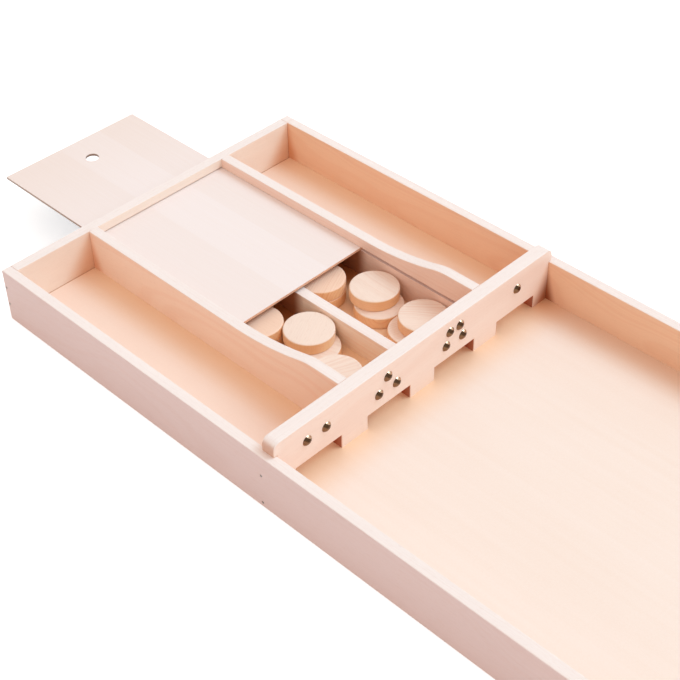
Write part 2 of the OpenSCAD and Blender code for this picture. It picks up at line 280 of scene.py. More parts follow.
@dataclass(frozen=True)
class WoodFinish:
    """Planed and lacquered wood with growth rings, fibres and flecks.

    A piece keeps its place in the log in the attribute `grain`, with the fibres along X. The attribute
    `facing` says how far each face is end grain, gets painted light and is a worn edge. The attribute
    `cover` says how far it lies on the outside of the board, gets painted shade in a recess and looks into
    the store. The colours paint light and shade: paler on faces turned to the lamp or up, darker on faces
    turned from it, outside, in recesses, in corners and under the lid's edge.
    """

    name: str
    # Painted light and shade by how a face turns to the lamp: the first colour for faces turned from it, the
    # second for faces turned to its side, the third for faces turned up or to it, and also for worn edges
    painted_shade: str
    painted_half_light: str
    painted_light_and_wear: str
    # Painted shade on faces that look out of the board
    outside: str
    end: str
    # Painted shade under the lid's edge, on faces that look into the store
    stain_and_shade: str
    # Painted shade on faces inside the gates and in the lid's groove
    recess_shade: str
    # Painted shade in the inner corners at the end wall
    corner: str
    # Painted shadow in the corner of the bar and the right rail
    bar_corner_shade: str
    ring: str
    fleck: str
    end_band: Point = (0.6, 0.95)
    gate_shade_shares: Point = (0.7, 1.0)
    corner_shade_reach: Point = (0.046, 0.010)
    bar_corner_shade_reach: Point = (0.034, 0.006)
    reach_factors: Triple = (1, 2.2, 0)
    reach_rise: float = 0.7
    bend_waves: Triple = (4, 9, 9)
    bend: float = 0.02
    ring_gap: float = 0.0022
    ring_band: Point = (0.44, 0.66)
    ring_share: float = 0.13
    plain_ring_share: float = 0.06
    vivid: Point = (0.5, 0.9)
    vivid_band: Point = (0.35, 0.65)
    fibre_waves: Triple = (24, 1000, 1000)
    fleck_waves: Triple = (170, 1700, 1700)
    fleck_band: Point = (0.6, 0.7)
    fleck_share: float = 0.1
    worn_share: float = 0.5
    blotch_waves: Triple = (3, 18, 18)
    tone_waves: float = 0.31
    shade_spreads: Triple = (0.07, 0.06, 0.06)
    heights: Triple = (0.6, -0.2, -0.5)
    roughness: float = 0.46
    rough_spread: float = 0.14
    gloss: float = 0.22
    relief: float = 0.00005

    def away(self, g: Graph, corner: Point) -> Socket:
        """Measures how far a spot lies from a corner between two boards, to place the painted corner shade.

        Args:
            g: The material's tree.
            corner: Where the upright corner stands, in X and Y.

        Returns:
            The distance over the floor, and more the higher the spot lies.
        """
        foot = (*corner, FLOOR_Z)
        spot = g.add("VectorMath", {0: g.place(), 1: foot}, operation="SUBTRACT").outputs[0]
        level = g.length(g.stretch(spot, self.reach_factors))
        return g.math("MULTIPLY_ADD", g.parts(spot)[2], self.reach_rise, level)

    def ground(self, g: Graph, light: Socket, end: Socket, cover: Sequence[Socket]) -> Socket:
        """Colours the wood by where each face lies, with painted light and shade.

        Args:
            g: The material's tree.
            light: How far a face gets painted light.
            end: How far it is end grain.
            cover: How far it lies outside, gets painted shade in a recess and looks into the store.

        Returns:
            The colour without any figure.
        """
        outside, recess_shade, stored = cover
        _, y, _ = g.parts(g.place())
        # Painted light and shade: darkest on faces turned from the lamp, palest on faces turned up or to it
        colour = g.mix(g.band(light, 0.0, HALF_LIGHT), self.painted_shade, self.painted_half_light)
        colour = g.mix(g.band(light, HALF_LIGHT, 1.0), colour, self.painted_light_and_wear)
        # Painted shade on faces that look out of the board
        colour = g.mix(outside, colour, self.outside)
        colour = g.mix(g.band(end, *self.end_band), colour, self.end)
        # Painted shade under the lid's edge, on faces that look into the store
        colour = g.mix(g.both(stored, g.band(y, *LID_SHADE)), colour, self.stain_and_shade)
        # Painted shade inside the gates, darker toward the back, and in the lid's groove
        colour = g.mix(g.both(recess_shade, g.band(y, *BAR_Y, *self.gate_shade_shares)), colour, self.recess_shade)
        # Painted shade in the inner corners at the end wall, and a darker painted shadow where the bar meets
        # the right rail; each reaches less far higher up and stays off outside faces
        corners = (
            ((INNER_X, END_Y), self.corner_shade_reach, self.corner),
            ((-DIVIDER_X, END_Y), self.corner_shade_reach, self.corner),
            ((INNER_X, BAR_Y[0]), self.bar_corner_shade_reach, self.bar_corner_shade),
        )
        inside = g.math("SUBTRACT", 1.0, outside)
        for corner, reach, shade in corners:
            dim = g.both(inside, g.band(self.away(g, corner), *reach))
            colour = g.mix(dim, colour, shade, Blend.TIMES)
        return colour

    def make(self) -> bpy.types.Material:
        """Builds the finish.

        Returns:
            The material.
        """
        g = Graph(bpy.data.materials.new(self.name))
        grain = g.attribute("grain")
        end, light, worn = g.parts(g.attribute("facing"))
        cover = g.parts(g.attribute("cover"))
        along, _, _ = g.parts(grain)
        radius = g.length(g.stretch(grain, (0, 1, 1)))
        bent = g.math("MULTIPLY_ADD", g.noise(grain, self.bend_waves), self.bend, radius)
        ring = g.band(g.wander(bent, 1 / self.ring_gap), *self.ring_band)
        fibre = g.noise(grain, self.fibre_waves, Detail.FINE)
        fleck = g.band(g.noise(grain, self.fleck_waves, Detail.PLAIN), *self.fleck_band)
        blotch = g.noise(grain, self.blotch_waves)
        tone = g.wander(along, self.tone_waves)

        colour = self.ground(g, light, end, cover)
        # The ring figure is fainter on outside faces and on faces with painted light
        plain = g.math("MAXIMUM", cover[0], g.band(light, HALF_LIGHT, 1.0))
        figure = g.both(ring, g.band(plain, 0.0, 1.0, self.ring_share, self.plain_ring_share))
        figure = g.both(figure, g.band(tone, *self.vivid_band, *self.vivid))
        colour = g.mix(figure, colour, self.ring, Blend.TIMES)
        colour = g.mix(g.both(fleck, self.fleck_share), colour, self.fleck)
        # Worn edges take the palest colour, which is also the painted light on the tops
        colour = g.mix(g.both(worn, self.worn_share), colour, self.painted_light_and_wear)
        shades = tuple(zip((fibre, blotch, tone), self.shade_spreads))
        colour = g.mix(1.0, colour, g.total(shades, 1 - sum(self.shade_spreads) / 2), Blend.TIMES)
        return g.surface({
            "Base Color": colour,
            "Roughness": g.varied(fibre, self.roughness, self.rough_spread),
            "Specular IOR Level": self.gloss,
            "Normal": g.bump(g.total(tuple(zip((fibre, ring, fleck), self.heights))), self.relief),
        })


@dataclass(frozen=True)
class SheetFinish:
    """Smooth sealed floor sheet, pale in the open, with painted shade behind the bar, along the walls, at the
    bar's foot, in the store and under the lid's edge.
    """

    name: str = "floor sheet"
    colour: str = "#FFEEE3"
    speck: str = "#EBC3A1"
    # Painted shade: the next six colours darken and warm the floor behind the bar, along the walls, beside
    # the right rail, at the bar's foot, in the store and under the lid's edge
    behind: str = "#FFF5EF"
    wall: str = "#FFF4DE"
    rail: str = "#EFDCCB"
    foot: str = "#FFE2BF"
    store: str = "#FFF3D9"
    # Painted shade under the lid's edge in the store
    stain_and_shade: str = "#C08A60"
    seam: str = "#C9936E"
    reach: float = 0.045
    foot_shade_reach: float = 0.06
    seam_reach: Point = (0.0012, 0.0004)
    pore_waves: Triple = (900, 420, 900)
    cloud_waves: Triple = (14, 7, 14)
    streak_waves: Triple = (160, 3, 160)
    shares: Triple = (0.22, 0.2, 0.14)
    least_share: float = -0.16
    roughness: float = 0.36
    rough_spread: float = 0.12
    gloss: float = 0.5
    relief: float = 0.00003

    def near(self, g: Graph, spot: Socket, wall: float, reach: float) -> Socket:
        """How near a value is to a wall above it, from 0 to 1, and 0 past the wall."""
        away = g.math("SUBTRACT", wall, spot)
        return g.both(g.band(away, reach, 0.0), g.math("GREATER_THAN", away, 0.0))

    def make(self) -> bpy.types.Material:
        """Builds the finish.

        Returns:
            The material.
        """
        g = Graph(bpy.data.materials.new(self.name))
        place = g.place()
        x, y, _ = g.parts(place)
        behind = g.math("GREATER_THAN", y, BAR_Y[1])
        right = self.near(g, x, INNER_X, self.reach)
        wall_shade = g.both(g.math("MAXIMUM", self.near(g, x, -DIVIDER_X, self.reach), right), behind)
        rail = g.both(right, g.math("LESS_THAN", y, BAR_Y[1]))
        foot = self.near(g, y, BAR_Y[1], self.foot_shade_reach)
        store = g.both(g.math("LESS_THAN", g.math("ABSOLUTE", x), STORE_X), behind)
        covered = g.both(store, g.band(y, *LID_SHADE))
        pores = g.noise(place, self.pore_waves, Detail.FINE)
        cloud = g.noise(place, self.cloud_waves, Detail.FINE)
        streak = g.noise(place, self.streak_waves)
        share = g.total(tuple(zip((pores, cloud, streak), self.shares)), self.least_share)
        colour = g.mix(share, self.colour, self.speck)
        # Painted shade laid on the floor where walls, the bar and the lid shade it
        shades = (
            (behind, self.behind), (wall_shade, self.wall), (rail, self.rail), (foot, self.foot),
            (store, self.store), (covered, self.stain_and_shade),
        )
        for where, shade in shades:
            colour = g.mix(where, colour, shade, Blend.TIMES)
        start, stop = (END_Y - reach for reach in self.seam_reach)
        return g.surface({
            "Base Color": g.mix(g.band(y, start, stop), colour, self.seam),
            "Roughness": g.varied(cloud, self.roughness, self.rough_spread),
            "Specular IOR Level": self.gloss,
            "Normal": g.bump(pores, self.relief),
        })


@dataclass(frozen=True)
class PlyFinish:
    """Pale sanded plywood: broad veneer figure on the faces, plies on the edges."""

    name: str = "lid plywood"
    veneer: str = "#FAEDE9"
    figure: str = "#F0D9CB"
    # Painted light and shade on the edges: the front edge, turned to the lamp, is paler and warmer than the
    # edges further back
    edge: str = "#BCA192"
    core: str = "#90766A"
    front: str = "#FACBAC"
    front_core: str = "#C29075"
    thickness: float = 0.003
    plies: int = 3
    ply_band: Point = (0.25, 0.6)
    flat_band: Point = (0.7, 0.95)
    strip_x: float = 0.0115
    strip_half: float = 0.028
    strip_blur: float = 0.001
    front_y: Point = (0.78, 0.90)
    outer_y: Point = (0.98, 1.17)
    bend_waves: Triple = (2.2, 7, 0)
    bend: float = 0.03
    line_waves: float = 300.0
    fibre_waves: Triple = (30, 1200, 1200)
    shares: tuple[float, ...] = (0.17, 0.35, 0.2, 0.2)
    least_share: float = -0.15
    roughness: float = 0.5
    rough_spread: float = 0.14
    gloss: float = 0.4
    relief: float = 0.00004

    def make(self) -> bpy.types.Material:
        """Builds the finish.

        Returns:
            The material.
        """
        g = Graph(bpy.data.materials.new(self.name))
        grain = g.attribute("grain")
        _, light, _ = g.parts(g.attribute("facing"))
        _, across, depth = g.parts(grain)
        x, y, _ = g.parts(g.place())
        off = g.math("ABSOLUTE", g.math("SUBTRACT", x, self.strip_x))
        strip = g.band(off, self.strip_half - self.strip_blur, self.strip_half + self.strip_blur)
        outer = g.band(y, *self.outer_y)
        bent = g.math("MULTIPLY_ADD", g.noise(grain, self.bend_waves), self.bend, across)
        lines = g.wander(bent, self.line_waves, Detail.FINE)
        fibre = g.noise(grain, self.fibre_waves, Detail.FINE)
        share = g.total(tuple(zip((strip, outer, lines, fibre), self.shares)), self.least_share)
        face = g.mix(share, self.veneer, self.figure)
        turn = g.math("MULTIPLY", depth, self.plies * math.pi / self.thickness)
        ply = g.band(g.math("ABSOLUTE", g.math("SINE", turn)), *self.ply_band)
        # Painted light and shade: edges before front_y paler and warmer, edges further back darker and greyer
        back = g.band(y, *self.front_y)
        core = g.mix(back, self.front_core, self.core)
        side = g.mix(ply, core, g.mix(back, self.front, self.edge))
        return g.surface({
            "Base Color": g.mix(g.band(light, *self.flat_band), side, face),
            "Roughness": g.varied(fibre, self.roughness, self.rough_spread),
            "Specular IOR Level": self.gloss,
            "Normal": g.bump(fibre, self.relief),
        })


@dataclass(frozen=True)
class BrassFinish:
    """Antique brass: a dark patina, with a painted reflection lighter on the lower side of the dome and a
    painted highlight at its upper edge.
    """

    name: str = "antique brass"
    # The dome's colours are painted by how it faces the lamp: the patina darker above, a painted reflection
    # lighter below, and a painted highlight at the upper edge
    patina: str = "#523C29"
    painted_reflection: str = "#8C6C51"
    bright: str = "#C9AE94"
    spot_waves: Triple = (900, 900, 900)
    spot_share: float = 0.2
    reflection_band: Point = (0.65, 0.3)
    painted_highlight_band: Point = (0.95, 1.0)
    scratch_waves: Triple = (300, 4000, 300)
    roughness: float = 0.24
    rough_spread: float = 0.2
    lacquer: float = 0.1
    lacquer_roughness: float = 0.1
    relief: float = 0.00002

    def make(self) -> bpy.types.Material:
        """Builds the finish.

        Returns:
            The material.
        """
        g = Graph(bpy.data.materials.new(self.name))
        grain = g.attribute("grain")
        _, light, _ = g.parts(g.attribute("facing"))
        spots = g.noise(grain, self.spot_waves, Detail.FINE)
        scratches = g.noise(grain, self.scratch_waves)
        # Painted reflection lighter on the lower side of the dome, painted highlight at its upper edge
        painted_reflection = g.band(g.math("MULTIPLY_ADD", spots, self.spot_share, light), *self.reflection_band)
        colour = g.mix(painted_reflection, self.patina, self.painted_reflection)
        return g.surface({
            "Base Color": g.mix(g.band(light, *self.painted_highlight_band), colour, self.bright),
            "Metallic": 1.0,
            "Roughness": g.varied(spots, self.roughness, self.rough_spread),
            "Coat Weight": self.lacquer,
            "Coat Roughness": self.lacquer_roughness,
            "Normal": g.bump(scratches, self.relief),
        })


@dataclass(frozen=True)
class SteelFinish:
    """Bare drawn steel of the brads and screws, a little stained."""

    name: str = "bare steel"
    bright: str = "#8E8A86"
    stain_and_shade: str = "#4E3A2C"
    stain_waves: Triple = (700, 700, 700)
    stain_band: Point = (0.42, 0.66)
    drawn_waves: Triple = (3000, 3000, 900)
    roughness: float = 0.42
    rough_spread: float = 0.2
    relief: float = 0.00001

    def make(self) -> bpy.types.Material:
        """Builds the finish.

        Returns:
            The material.
        """
        g = Graph(bpy.data.materials.new(self.name))
        place = g.place()
        stain_and_shade = g.band(g.noise(place, self.stain_waves, Detail.FINE), *self.stain_band)
        drawn = g.noise(place, self.drawn_waves)
        return g.surface({
            "Base Color": g.mix(stain_and_shade, self.bright, self.stain_and_shade),
            "Metallic": 1.0,
            "Roughness": g.varied(drawn, self.roughness, self.rough_spread),
            "Normal": g.bump(drawn, self.relief),
        })


@dataclass(frozen=True)
class PaperFinish:
    """White paper of the studio floor: it takes shadows and shows white to the camera."""

    name: str = "studio paper"
    colour: str = "#F7F6F5"
    fibre: str = "#E8E6E4"
    fibre_waves: Triple = (300, 300, 300)
    fibre_share: float = 0.04
    lift: float = 0.55
    lift_tint: tuple[float, ...] = (0.9, 1.0, 1.06, 1.0)
    roughness: float = 0.9

    def make(self) -> bpy.types.Material:
        """Builds the finish.

        Returns:
            The material.
        """
        g = Graph(bpy.data.materials.new(self.name))
        share = g.both(g.noise(g.place(), self.fibre_waves, Detail.FINE), self.fibre_share)
        return g.surface({
            "Base Color": g.mix(share, self.colour, self.fibre),
            "Roughness": self.roughness,
            "Specular IOR Level": 0.0,
            "Emission Color": self.lift_tint,
            "Emission Strength": g.both(g.seen(), self.lift),
        })


@dataclass(frozen=True)
class Grain:
    """Lie of the wood in one piece: where its fibres run, and where in the log it was sawn."""

    along: Vector
    across: Vector
    depth: Vector
    start: Vector

    def place(self, spot: Vector) -> Vector:
        """Place in the log of a spot on the board."""
        return Vector((spot.dot(self.along), spot.dot(self.across), spot.dot(self.depth))) + self.start


@dataclass
class Timber:
    """Source of sawn pieces, each from its own place in the log."""

    seed: int
    log_half: float = 40
    board_off: Point = (0.04, 0.09)
    board_turn: float = 0.5
    disc_off: Point = (0.06, 0.16)

    def __post_init__(self) -> None:
        """Starts a fixed order of pieces."""
        self.draw = random.Random(self.seed)

    def start(self, off: Point, turn: float) -> Vector:
        """Draws where in the log a piece comes from.

        Args:
            off: Least and greatest distance from the heart.
            turn: Greatest angle about the heart, in radians.

        Returns:
            A place in the log.
        """
        angle = self.draw.uniform(-turn, turn)
        radius = self.draw.uniform(*off)
        along = self.draw.uniform(-self.log_half, self.log_half)
        return Vector((along, radius * math.cos(angle), radius * math.sin(angle)))

    def board(self, axis: Axis) -> Grain:
        """Lie of the wood in a board with its fibres along an axis."""
        along, depth = axis.unit(), Axis.UP.unit()
        return Grain(along, depth.cross(along), depth, self.start(self.board_off, self.board_turn))

    def disc(self, centre: Vector) -> Grain:
        """Saws the blank of a disc, with its fibres flat and any way round.

        Args:
            centre: Middle of the disc.

        Returns:
            The lie of its wood.
        """
        angle = self.draw.uniform(0, math.tau)
        along = Vector((math.cos(angle), math.sin(angle), 0))
        across = Vector((-math.sin(angle), math.cos(angle), 0))
        lie = Grain(along, across, Axis.UP.unit(), Vector())
        return replace(lie, start=self.start(self.disc_off, math.pi) - lie.place(centre))


class Solid:
    """Mesh under construction in the board's frame."""

    def __init__(self) -> None:
        """Starts without any faces."""
        self.mesh = bmesh.new()

    def prism(self, outline: Sequence[Point], axis: Axis, low: float, high: float) -> "Solid":
        """Adds an outline spread along an axis.

        Args:
            outline: Corners in order, in the two other directions.
            axis: Direction that the outline is spread along.
            low: Where the solid starts along the axis.
            high: Where it stops.

        Returns:
            This solid.
        """
        rings = [[self.mesh.verts.new(axis.spot(point, level)) for point in outline] for level in (low, high)]
        for ring in rings:
            self.mesh.faces.new(ring)
        for n in range(len(outline)):
            self.mesh.faces.new((rings[0][n - 1], rings[0][n], rings[1][n], rings[1][n - 1]))
        bmesh.ops.recalc_face_normals(self.mesh, faces=self.mesh.faces)
        return self

    def block(self, low: Vector, high: Vector) -> "Solid":
        """Adds a block between two opposite corners."""
        outline = [(low.x, low.y), (high.x, low.y), (high.x, high.y), (low.x, high.y)]
        return self.prism(outline, Axis.UP, low.z, high.z)

    def turned(self, profile: Sequence[Point], spots: Sequence[Vector], axis: Vector, steps: int) -> "Solid":
        """Adds the same turned solid at every spot.

        Args:
            profile: Radius and height of each ring, from one end on the axis to the other.
            spots: Where height zero lies in each of them.
            axis: Unit vector along the height.
            steps: Number of corners in a ring.

        Returns:
            This solid.
        """
        turn = axis.to_track_quat("Z", "Y").to_matrix()
        for origin in spots:
            rings = []
            for radius, height in profile:
                angles = [math.tau * n / steps for n in range(steps if radius > 0 else 1)]
                around = [Vector((radius * math.cos(a), radius * math.sin(a), height)) for a in angles]
                rings.append([self.mesh.verts.new(origin + turn @ spot) for spot in around])
            for one, two in pairwise(rings):
                for n in range(steps):
                    below = [one[m % len(one)] for m in (n, n + 1)]
                    above = [two[m % len(two)] for m in (n + 1, n)]
                    self.mesh.faces.new(tuple(dict.fromkeys(below + above)))
        bmesh.ops.recalc_face_normals(self.mesh, faces=self.mesh.faces)
        return self

    def ease(self, radius: float, steps: int = 3, above: float = -1.0) -> "Solid":
        """Rounds sharp edges over.

        Args:
            radius: How far the rounding goes into each face.
            steps: Number of faces across it.
            above: Height that an edge has to reach above.

        Returns:
            This solid.
        """
        edges = [
            edge for edge in self.mesh.edges
            if edge.calc_face_angle(0) > SHARP_ANGLE and max(vertex.co.z for vertex in edge.verts) > above
        ]
        bmesh.ops.bevel(
            self.mesh, geom=edges, offset=radius, offset_type="OFFSET", segments=steps, profile=0.5,
            affect="EDGES", clamp_overlap=True,
        )
        return self

    def cut(self, tool: "Solid") -> "Solid":
        """Takes another solid's room out of this one.

        Args:
            tool: The other solid.

        Returns:
            This solid.
        """
        target, cutter = self._shown("target"), tool._shown("cutter")
        step = target.modifiers.new("cut", "BOOLEAN")
        step.operation = "DIFFERENCE"
        step.solver = "EXACT"
        step.object = cutter
        result = _evaluated(target)
        self.mesh.clear()
        self.mesh.from_mesh(result)
        bpy.data.meshes.remove(result)
        for used in (target, cutter):
            bpy.data.meshes.remove(used.data)
        return self

    def _shown(self, name: str) -> bpy.types.Object:
        """Shows this solid in the scene.

        Args:
            name: The name of its object and mesh.

        Returns:
            The new object.
        """
        mesh = bpy.data.meshes.new(name)
        self.mesh.to_mesh(mesh)
        shown = bpy.data.objects.new(name, mesh)
        bpy.context.scene.collection.objects.link(shown)
        return shown

    def piece(
        self, name: str, grain: Grain, cover_of: CoverOf | None = None, turning: bool = False,
    ) -> bpy.types.Object:
        """Ends the construction.

        Args:
            name: The new piece's name.
            grain: Lie of the material in the piece.
            cover_of: Gives the attribute `cover` from a face's middle and normal.
            turning: Whether the piece was turned about the direction of its depth.

        Returns:
            A piece whose mesh keeps the attributes `grain`, `facing` and `cover`.
        """
        self.mesh.normal_update()
        for edge in self.mesh.edges:
            edge.smooth = edge.calc_face_angle(math.pi) < SHARP_ANGLE
        facing, cover = [], []
        for face in self.mesh.faces:
            face.smooth = True
            facing += facing_of(face.normal, grain, turning)
            cover += cover_of(face.calc_center_median(), face.normal) if cover_of else (0.0, 0.0, 0.0)
        places = [part for vertex in self.mesh.verts for part in grain.place(vertex.co)]
        piece = self._shown(name)
        piece.data.attributes.new("grain", "FLOAT_VECTOR", "POINT").data.foreach_set("vector", places)
        for key, values in (("facing", facing), ("cover", cover)):
            piece.data.attributes.new(key, "FLOAT_VECTOR", "FACE").data.foreach_set("vector", values)
        piece.modifiers.new("even", "WEIGHTED_NORMAL").keep_sharp = True
        rough = piece.data
        even = _evaluated(piece)
        piece.modifiers.clear()
        piece.data = even
        bpy.data.meshes.remove(rough)
        even.name = name
        self.mesh.free()
        return piece


def _evaluated(shown: bpy.types.Object) -> bpy.types.Mesh:
    """New mesh of an object with its modifiers applied."""
    graph = bpy.context.evaluated_depsgraph_get()
    return bpy.data.meshes.new_from_object(shown.evaluated_get(graph), depsgraph=graph)


def facing_of(normal: Vector, grain: Grain, turning: bool) -> Triple:
    """Tells how a face lies to the fibres, to the light and to the piece.

    Args:
        normal: The face's normal.
        grain: Lie of the material in the piece.
        turning: Whether the piece was turned about the direction of its depth.

    Returns:
        How far it is end grain, gets painted light by how it faces the lamp and is a worn edge, each from 0
        to 1.
    """
    if turning:
        rise = abs(normal.dot(grain.depth))
        flatness = max(rise, math.sqrt(max(0.0, 1 - rise * rise)))
    else:
        flatness = max(abs(part) for part in normal)
    wear = min(1.0, (1 - flatness) / FULL_WEAR)
    light = min(1.0, max(0.0, normal.z, normal.dot(LIGHT_FROM) / LIGHT_FROM.z))
    return abs(normal.dot(grain.along)), light, wear


def arc(centre: Point, radius: float, start: float, stop: float, steps: int) -> list[Point]:
    """Points of an arc between two angles in degrees, both ends included."""
    angles = [math.radians(start + (stop - start) * n / steps) for n in range(steps + 1)]
    return [(centre[0] + radius * math.cos(a), centre[1] + radius * math.sin(a)) for a in angles]


def solid_boxes(node: str) -> list[Span]:
    """Finds the separate solids in a CAD node.

    Args:
        node: The node's name.

    Returns:
        The lowest and highest corner of each solid, in order along X.
    """
    mesh = bmesh.new()
    mesh.from_mesh(frame["nodes"][node].data)
    bmesh.ops.remove_doubles(mesh, verts=mesh.verts, dist=MERGE)
    waiting = set(mesh.verts)
    boxes = []
    while waiting:
        reached = [waiting.pop()]
        for vertex in reached:
            for edge in vertex.link_edges:
                other = edge.other_vert(vertex)
                if other in waiting:
                    waiting.remove(other)
                    reached.append(other)
        spots = [vertex.co.copy() for vertex in reached]
        low, high = (Vector([pick(s[n] for s in spots) for n in range(3)]) for pick in (min, max))
        boxes.append((low, high))
    mesh.free()
    return sorted(boxes, key=lambda span: tuple(span[0]))


def middle(span: Span) -> Vector:
    """Middle of a box."""
    return (span[0] + span[1]) / 2


def outside(direction: Vector) -> CoverOf:
    """Cover of a piece whose face in one direction lies on the outside of the board."""
    return lambda spot, normal: (max(0.0, normal.dot(direction)), 0.0, 0.0)


def settle(piece: bpy.types.Object, node: str, material: bpy.types.Material) -> None:
    """Puts a piece in the place of a CAD node.

    Args:
        piece: The new piece.
        node: The node that it stands for.
        material: What it is made of.
    """
    piece.data.materials.clear()
    piece.data.materials.append(material)
    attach(piece, BODY_OF[node])
    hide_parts(node)
    LOG.info("%s stands for %s with %d faces", piece.name, node, len(piece.data.polygons))


def dress(node: str, material: bpy.types.Material) -> None:
    """Gives a CAD node that stays as it is its material.

    Args:
        node: The node's name.
        material: What it is made of.
    """
    for slot in frame["nodes"][node].material_slots:
        slot.material = material
    LOG.info("%s keeps its shape", node)


@dataclass
class Fasteners:
    """Brads, their holes, and the screws under the floor."""

    steel: bpy.types.Material
    head_r: float = 0.0015
    head_h: float = 0.001
    rim_w: float = 0.0003
    rim_h: float = 0.0002
    crown_h: float = 0.0001
    shank_r: float = 0.0009
    length: float = 0.030
    tip: float = 0.0015
    sink: float = 0.0003
    play: float = 0.00005
    steps: int = 24

    def spots(self, node: str) -> list[Vector]:
        """Middle of the outer face of each brad in a node."""
        axis = BRADS_OUT[node]
        return [middle(span) + axis * abs((span[1] - span[0]).dot(axis) / 2) for span in solid_boxes(node)]

    def holes(self, node: str) -> Solid:
        """Makes the tool that cuts the holes of some brads.

        Args:
            node: The node of the brads.

        Returns:
            The tool.
        """
        wide, thin = self.head_r + self.play, self.shank_r + self.play
        profile = [(0, -self.length - self.play), (thin, -self.length - self.play), (thin, -self.head_h)]
        profile += [(wide, -self.head_h), (wide, OVERSHOOT), (0, OVERSHOOT)]
        return Solid().turned(profile, self.spots(node), BRADS_OUT[node], self.steps)

    def brads(self, node: str) -> None:
        """Builds the brads of one node, driven a little below the face of the wood.

        Args:
            node: The node of the brads.
        """
        profile = [(0, -self.length), (self.shank_r, self.tip - self.length), (self.shank_r, -self.head_h)]
        profile += [(self.head_r, -self.head_h), (self.head_r, -self.sink - self.rim_h)]
        profile += [(self.head_r - self.rim_w, -self.sink), (0, -self.sink + self.crown_h)]
        axis = BRADS_OUT[node]
        solid = Solid().turned(profile, self.spots(node), axis, self.steps)
        lie = Grain(axis, axis.orthogonal(), axis.cross(axis.orthogonal()), Vector())
        settle(solid.piece(f"{node}_driven", lie), node, self.steel)

    def build(self) -> None:
        """Builds all brads and dresses the screws."""
        for node in BRADS_OUT:
            self.brads(node)
        for node in ("divider_screws", "gate_bar_screws"):
            dress(node, self.steel)


@dataclass
class Trough:
    """Rails, end wall, sill, floor and the battens under it."""

    wood: bpy.types.Material
    own_woods: Mapping[str, bpy.types.Material]
    sheet: bpy.types.Material
    timber: Timber
    fasteners: Fasteners
    edge_r: float = 0.0009
    nose_r: float = 0.025
    nose_steps: int = 24
    floor_play: float = 0.00006
    lid_play: float = 0.0003
    lid_edge_play: float = 0.0005
    slot_play: float = 0.0012

    def floor_way(self) -> Solid:
        """Tool that cuts the grooves for the edges of the floor."""
        play = Vector((self.floor_play,) * 3)
        return Solid().block(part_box("floor_panel")[0] - play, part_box("floor_panel")[1] + play)

    def lid_way(self, over: float) -> Solid:
        """Makes the room that the lid slides in, from the bar out through the end wall.

        Args:
            over: Play over the lid.

        Returns:
            The tool that cuts its grooves and its slot.
        """
        low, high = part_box("storage_lid")
        beside = self.lid_edge_play
        return Solid().block(
            Vector((low.x - beside, BAR_Y[1], low.z - self.lid_play)),
            Vector((high.x + beside, high.y + OVERSHOOT, high.z + over)),
        )

    def rail(self, side: Side) -> None:
        """Builds one rail, with its top corner rounded at the player's end.

        Args:
            side: Where the rail stands.
        """
        node = f"{side.value}_rail"
        low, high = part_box(node)
        nose = arc((low.y + self.nose_r, high.z - self.nose_r), self.nose_r, 90, 180, self.nose_steps)
        outline = [(low.y, low.z), (high.y, low.z), (high.y, high.z), *nose]
        solid = Solid().prism(outline, Axis.ACROSS, low.x, high.x).ease(self.edge_r).cut(self.floor_way())
        solid.cut(self.fasteners.holes(f"{node}_brads"))
        piece = solid.piece(f"{node}_eased", self.timber.board(Axis.ALONG), outside(side.out()))
        settle(piece, node, self.own_woods.get(node, self.wood))

    def end_wall(self) -> None:
        """Builds the end wall with the slot for the lid."""
        solid = Solid().block(*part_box("end_wall")).ease(self.edge_r).cut(self.floor_way())
        solid.cut(self.lid_way(self.slot_play))
        solid.cut(self.fasteners.holes("end_wall_brads"))
        self.nailed(solid)
        piece = solid.piece("end_wall_eased", self.timber.board(Axis.ACROSS), outside(Axis.ALONG.unit()))
        settle(piece, "end_wall", self.own_woods["end_wall"])

    def nailed(self, solid: Solid) -> None:
        """Cuts the holes of both rails' brads into a piece that spans the board."""
        for side in Side:
            solid.cut(self.fasteners.holes(f"{side.value}_rail_brads"))

    def crosspiece(self, node: str) -> None:
        """Builds a straight board between the rails.

        Args:
            node: The node that it stands for.
        """
        solid = Solid().block(*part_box(node)).ease(self.edge_r).cut(self.floor_way())
        self.nailed(solid)
        settle(solid.piece(f"{node}_eased", self.timber.board(Axis.ACROSS)), node, self.wood)

    def build(self) -> None:
        """Builds every board of the trough and dresses the floor."""
        for side in Side:
            self.rail(side)
        self.end_wall()
        for node in ("front_sill", "gate_batten", "middle_batten", "front_batten"):
            self.crosspiece(node)
        dress("floor_panel", self.sheet)


